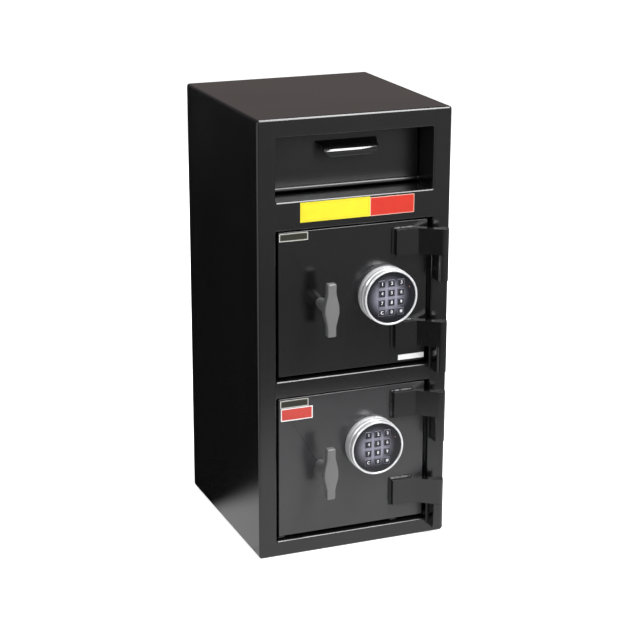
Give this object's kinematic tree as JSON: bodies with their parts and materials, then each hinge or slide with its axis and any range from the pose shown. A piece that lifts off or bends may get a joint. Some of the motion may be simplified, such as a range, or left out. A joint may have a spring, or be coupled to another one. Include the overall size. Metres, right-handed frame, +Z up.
{
  "type": "two-compartment front-loading drop safe",
  "caption": "Tall black steel drop safe with a tilt-out deposit drawer in a recess over two hinged plate doors, each with a T handle and a round electronic keypad.",
  "frame": {"origin": "centre of the base, on the floor", "axes": "+Z up, the front with its doors faces -Y, the door hinges are on the +X side"},
  "size_m": [0.368, 0.432, 0.813],
  "materials": {
    "black_powder_coat": "fine textured semi-gloss powder coat on steel plate",
    "gloss_black_steel": "smooth gloss black coat",
    "zinc_steel": "bright zinc plate",
    "bright_chrome": "polished chrome plate",
    "satin_cast_metal": "satin grey cast metal",
    "keypad_plastic": "glossy black plastic",
    "key_rubber": "satin dark plastic with light outlines and figures"
  },
  "bodies": {
    "cabinet": {"front_frame": "black_powder_coat", "body_wrap": "black_powder_coat", "back_panel": "black_powder_coat", "compartment_shelf": "black_powder_coat", "recess_liner": "black_powder_coat", "deposit_deck": "black_powder_coat", "drawer_baffle": "black_powder_coat", "anti_fish_baffle": "black_powder_coat", "drawer_rod": "zinc_steel", "upper_bottom_frame_knuckle": "black_powder_coat", "upper_top_frame_knuckle": "black_powder_coat", "lower_bottom_frame_knuckle": "black_powder_coat", "lower_top_frame_knuckle": "black_powder_coat"},
    "drawer": {"drawer_panel": "black_powder_coat", "drawer_tray": "black_powder_coat", "drawer_pull": "gloss_black_steel"},
    "upper_door": {"upper_door_plate": "black_powder_coat", "upper_bottom_hinge_arm": "black_powder_coat", "upper_top_hinge_arm": "black_powder_coat", "upper_dead_bar": "zinc_steel", "upper_bolt_channel": "zinc_steel", "upper_lock_case": "zinc_steel", "upper_keypad_face": "keypad_plastic"},
    "upper_handle": {"upper_t_handle": "satin_cast_metal"},
    "upper_bolts": {"upper_bolt_carriage": "zinc_steel"},
    "upper_ring": {"upper_keypad_ring": "bright_chrome"},
    "upper_key_1": {"upper_key_1": "key_rubber"},
    "upper_key_2": {"upper_key_2": "key_rubber"},
    "upper_key_3": {"upper_key_3": "key_rubber"},
    "upper_key_4": {"upper_key_4": "key_rubber"},
    "upper_key_5": {"upper_key_5": "key_rubber"},
    "upper_key_6": {"upper_key_6": "key_rubber"},
    "upper_key_7": {"upper_key_7": "key_rubber"},
    "upper_key_8": {"upper_key_8": "key_rubber"},
    "upper_key_9": {"upper_key_9": "key_rubber"},
    "upper_key_c": {"upper_key_c": "key_rubber"},
    "upper_key_0": {"upper_key_0": "key_rubber"},
    "upper_key_hash": {"upper_key_hash": "key_rubber"},
    "lower_door": {"lower_door_plate": "black_powder_coat", "lower_bottom_hinge_arm": "black_powder_coat", "lower_top_hinge_arm": "black_powder_coat", "lower_dead_bar": "zinc_steel", "lower_bolt_channel": "zinc_steel", "lower_lock_case": "zinc_steel", "lower_keypad_face": "keypad_plastic"},
    "lower_handle": {"lower_t_handle": "satin_cast_metal"},
    "lower_bolts": {"lower_bolt_carriage": "zinc_steel"},
    "lower_ring": {"lower_keypad_ring": "bright_chrome"},
    "lower_key_1": {"lower_key_1": "key_rubber"},
    "lower_key_2": {"lower_key_2": "key_rubber"},
    "lower_key_3": {"lower_key_3": "key_rubber"},
    "lower_key_4": {"lower_key_4": "key_rubber"},
    "lower_key_5": {"lower_key_5": "key_rubber"},
    "lower_key_6": {"lower_key_6": "key_rubber"},
    "lower_key_7": {"lower_key_7": "key_rubber"},
    "lower_key_8": {"lower_key_8": "key_rubber"},
    "lower_key_9": {"lower_key_9": "key_rubber"},
    "lower_key_c": {"lower_key_c": "key_rubber"},
    "lower_key_0": {"lower_key_0": "key_rubber"},
    "lower_key_hash": {"lower_key_hash": "key_rubber"}
  },
  "joints": [
    {"name": "drawer_tilt", "type": "hinge", "parent": "cabinet", "child": "drawer", "pos_m": [0, -0.125, 0.673], "axis": [1, 0, 0], "range_deg": [0, 50]},
    {"name": "upper_door_swing", "type": "hinge", "parent": "cabinet", "child": "upper_door", "pos_m": [0.161, -0.2145, 0.476], "axis": [0, 0, 1], "range_deg": [0, 180]},
    {"name": "upper_handle_turn", "type": "hinge", "parent": "upper_door", "child": "upper_handle", "pos_m": [-0.064, -0.1835, 0.476], "axis": [0, -1, 0], "range_deg": [0, 60]},
    {"name": "upper_bolt_slide", "type": "slide", "parent": "upper_door", "child": "upper_bolts", "axis": [-1, 0, 0], "range_m": [0, 0.022]},
    {"name": "upper_ring_turn", "type": "hinge", "parent": "upper_door", "child": "upper_ring", "pos_m": [0.06, -0.1835, 0.48], "axis": [0, 1, 0], "range_deg": [0, 90]},
    {"name": "upper_key_1_press", "type": "slide", "parent": "upper_door", "child": "upper_key_1", "axis": [0, 1, 0], "range_m": [0, 0.0008], "stiffness_N_per_m": 1500, "springref_m": -0.0006},
    {"name": "upper_key_2_press", "type": "slide", "parent": "upper_door", "child": "upper_key_2", "axis": [0, 1, 0], "range_m": [0, 0.0008], "stiffness_N_per_m": 1500, "springref_m": -0.0006},
    {"name": "upper_key_3_press", "type": "slide", "parent": "upper_door", "child": "upper_key_3", "axis": [0, 1, 0], "range_m": [0, 0.0008], "stiffness_N_per_m": 1500, "springref_m": -0.0006},
    {"name": "upper_key_4_press", "type": "slide", "parent": "upper_door", "child": "upper_key_4", "axis": [0, 1, 0], "range_m": [0, 0.0008], "stiffness_N_per_m": 1500, "springref_m": -0.0006},
    {"name": "upper_key_5_press", "type": "slide", "parent": "upper_door", "child": "upper_key_5", "axis": [0, 1, 0], "range_m": [0, 0.0008], "stiffness_N_per_m": 1500, "springref_m": -0.0006},
    {"name": "upper_key_6_press", "type": "slide", "parent": "upper_door", "child": "upper_key_6", "axis": [0, 1, 0], "range_m": [0, 0.0008], "stiffness_N_per_m": 1500, "springref_m": -0.0006},
    {"name": "upper_key_7_press", "type": "slide", "parent": "upper_door", "child": "upper_key_7", "axis": [0, 1, 0], "range_m": [0, 0.0008], "stiffness_N_per_m": 1500, "springref_m": -0.0006},
    {"name": "upper_key_8_press", "type": "slide", "parent": "upper_door", "child": "upper_key_8", "axis": [0, 1, 0], "range_m": [0, 0.0008], "stiffness_N_per_m": 1500, "springref_m": -0.0006},
    {"name": "upper_key_9_press", "type": "slide", "parent": "upper_door", "child": "upper_key_9", "axis": [0, 1, 0], "range_m": [0, 0.0008], "stiffness_N_per_m": 1500, "springref_m": -0.0006},
    {"name": "upper_key_c_press", "type": "slide", "parent": "upper_door", "child": "upper_key_c", "axis": [0, 1, 0], "range_m": [0, 0.0008], "stiffness_N_per_m": 1500, "springref_m": -0.0006},
    {"name": "upper_key_0_press", "type": "slide", "parent": "upper_door", "child": "upper_key_0", "axis": [0, 1, 0], "range_m": [0, 0.0008], "stiffness_N_per_m": 1500, "springref_m": -0.0006},
    {"name": "upper_key_hash_press", "type": "slide", "parent": "upper_door", "child": "upper_key_hash", "axis": [0, 1, 0], "range_m": [0, 0.0008], "stiffness_N_per_m": 1500, "springref_m": -0.0006},
    {"name": "lower_door_swing", "type": "hinge", "parent": "cabinet", "child": "lower_door", "pos_m": [0.161, -0.2145, 0.168], "axis": [0, 0, 1], "range_deg": [0, 180]},
    {"name": "lower_handle_turn", "type": "hinge", "parent": "lower_door", "child": "lower_handle", "pos_m": [-0.064, -0.1835, 0.168], "axis": [0, -1, 0], "range_deg": [0, 60]},
    {"name": "lower_bolt_slide", "type": "slide", "parent": "lower_door", "child": "lower_bolts", "axis": [-1, 0, 0], "range_m": [0, 0.022]},
    {"name": "lower_ring_turn", "type": "hinge", "parent": "lower_door", "child": "lower_ring", "pos_m": [0.037, -0.1835, 0.196], "axis": [0, 1, 0], "range_deg": [0, 90]},
    {"name": "lower_key_1_press", "type": "slide", "parent": "lower_door", "child": "lower_key_1", "axis": [0, 1, 0], "range_m": [0, 0.0008], "stiffness_N_per_m": 1500, "springref_m": -0.0006},
    {"name": "lower_key_2_press", "type": "slide", "parent": "lower_door", "child": "lower_key_2", "axis": [0, 1, 0], "range_m": [0, 0.0008], "stiffness_N_per_m": 1500, "springref_m": -0.0006},
    {"name": "lower_key_3_press", "type": "slide", "parent": "lower_door", "child": "lower_key_3", "axis": [0, 1, 0], "range_m": [0, 0.0008], "stiffness_N_per_m": 1500, "springref_m": -0.0006},
    {"name": "lower_key_4_press", "type": "slide", "parent": "lower_door", "child": "lower_key_4", "axis": [0, 1, 0], "range_m": [0, 0.0008], "stiffness_N_per_m": 1500, "springref_m": -0.0006},
    {"name": "lower_key_5_press", "type": "slide", "parent": "lower_door", "child": "lower_key_5", "axis": [0, 1, 0], "range_m": [0, 0.0008], "stiffness_N_per_m": 1500, "springref_m": -0.0006},
    {"name": "lower_key_6_press", "type": "slide", "parent": "lower_door", "child": "lower_key_6", "axis": [0, 1, 0], "range_m": [0, 0.0008], "stiffness_N_per_m": 1500, "springref_m": -0.0006},
    {"name": "lower_key_7_press", "type": "slide", "parent": "lower_door", "child": "lower_key_7", "axis": [0, 1, 0], "range_m": [0, 0.0008], "stiffness_N_per_m": 1500, "springref_m": -0.0006},
    {"name": "lower_key_8_press", "type": "slide", "parent": "lower_door", "child": "lower_key_8", "axis": [0, 1, 0], "range_m": [0, 0.0008], "stiffness_N_per_m": 1500, "springref_m": -0.0006},
    {"name": "lower_key_9_press", "type": "slide", "parent": "lower_door", "child": "lower_key_9", "axis": [0, 1, 0], "range_m": [0, 0.0008], "stiffness_N_per_m": 1500, "springref_m": -0.0006},
    {"name": "lower_key_c_press", "type": "slide", "parent": "lower_door", "child": "lower_key_c", "axis": [0, 1, 0], "range_m": [0, 0.0008], "stiffness_N_per_m": 1500, "springref_m": -0.0006},
    {"name": "lower_key_0_press", "type": "slide", "parent": "lower_door", "child": "lower_key_0", "axis": [0, 1, 0], "range_m": [0, 0.0008], "stiffness_N_per_m": 1500, "springref_m": -0.0006},
    {"name": "lower_key_hash_press", "type": "slide", "parent": "lower_door", "child": "lower_key_hash", "axis": [0, 1, 0], "range_m": [0, 0.0008], "stiffness_N_per_m": 1500, "springref_m": -0.0006}
  ],
  "couplings": [
    {"joint": "upper_bolt_slide", "follows": "upper_handle_turn", "m_per_rad": 0.021},
    {"joint": "lower_bolt_slide", "follows": "lower_handle_turn", "m_per_rad": 0.021}
  ]
}
